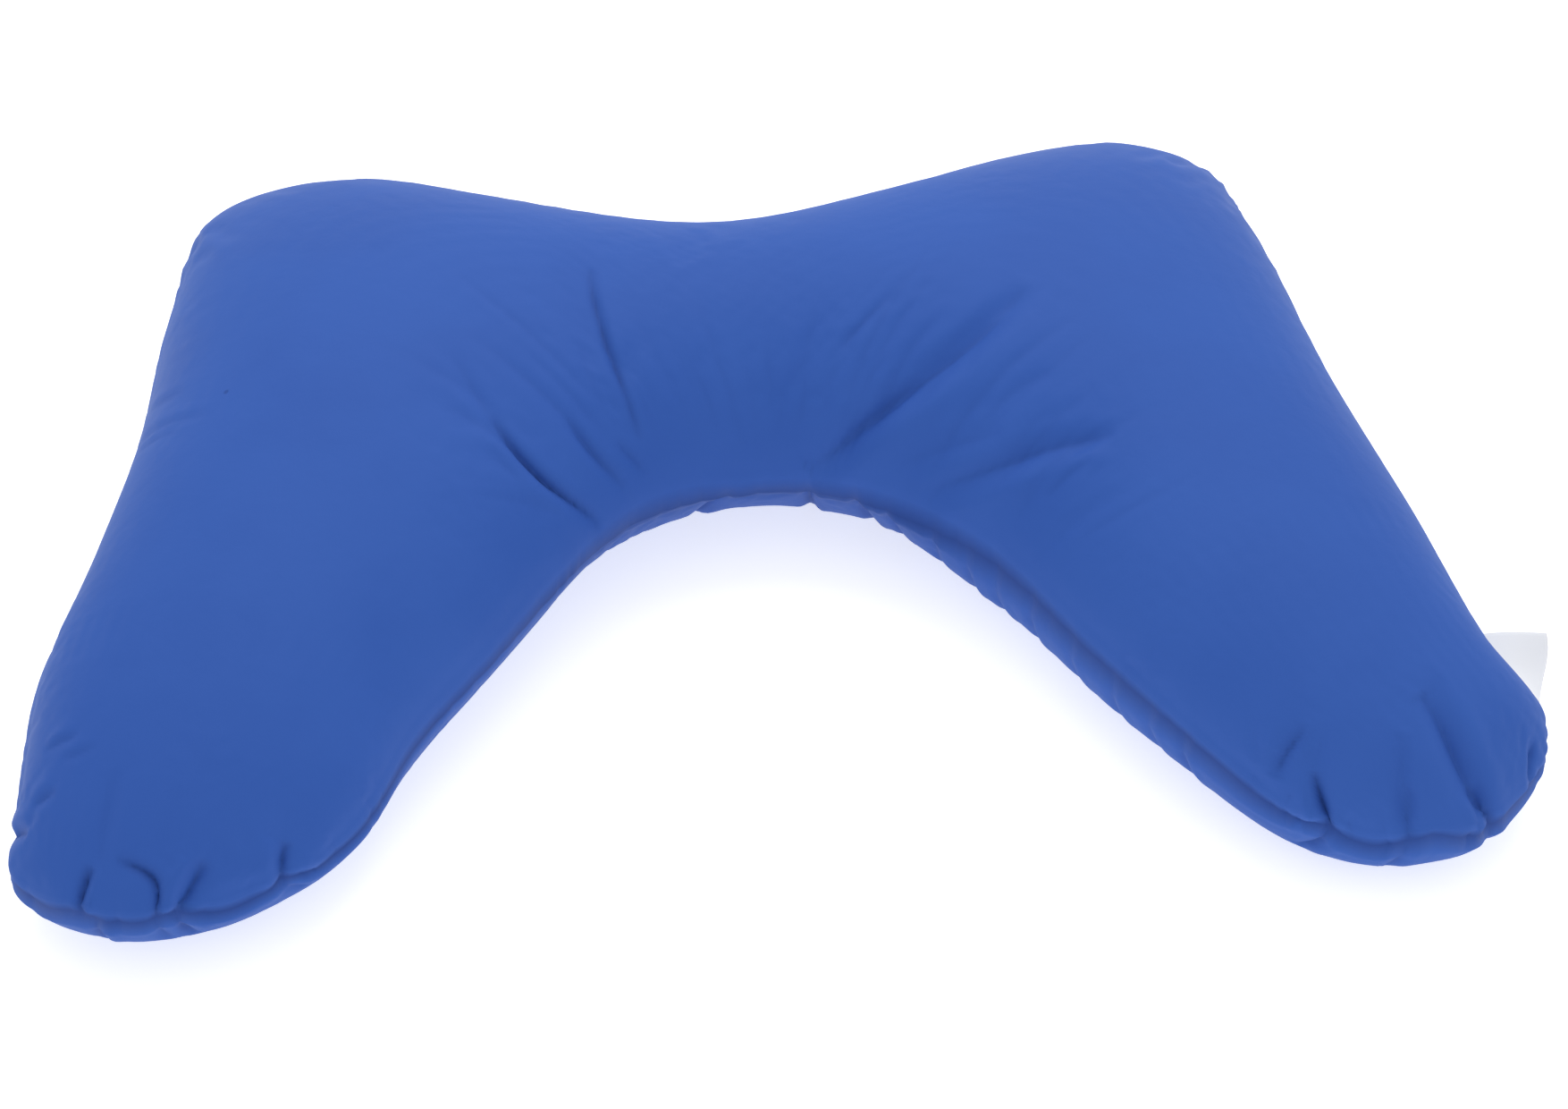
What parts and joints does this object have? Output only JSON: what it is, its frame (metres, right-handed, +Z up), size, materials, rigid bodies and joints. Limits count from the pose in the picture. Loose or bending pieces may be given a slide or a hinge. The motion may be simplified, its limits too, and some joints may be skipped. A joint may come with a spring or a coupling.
{
  "type": "positioning pillow",
  "caption": "Boomerang-shaped positioning pillow of smooth coated cloth, filled soft, with a bare care label in its outer seam.",
  "frame": {"origin": "on the resting plane, under the middle of the box round the whole part", "axes": "+X from the left tip to the right tip, +Y from the open side between the arms to the back edge, +Z up out of the upper panel"},
  "size_m": [0.8627, 0.5555, 0.1551],
  "materials": {
    "coated_cloth": "smooth blue coated knit, soft satin sheen",
    "label_cloth": "thin white satin ribbon, bare"
  },
  "bodies": {
    "root": {"cushion": "coated_cloth", "care_label": "label_cloth"}
  },
  "joints": []
}
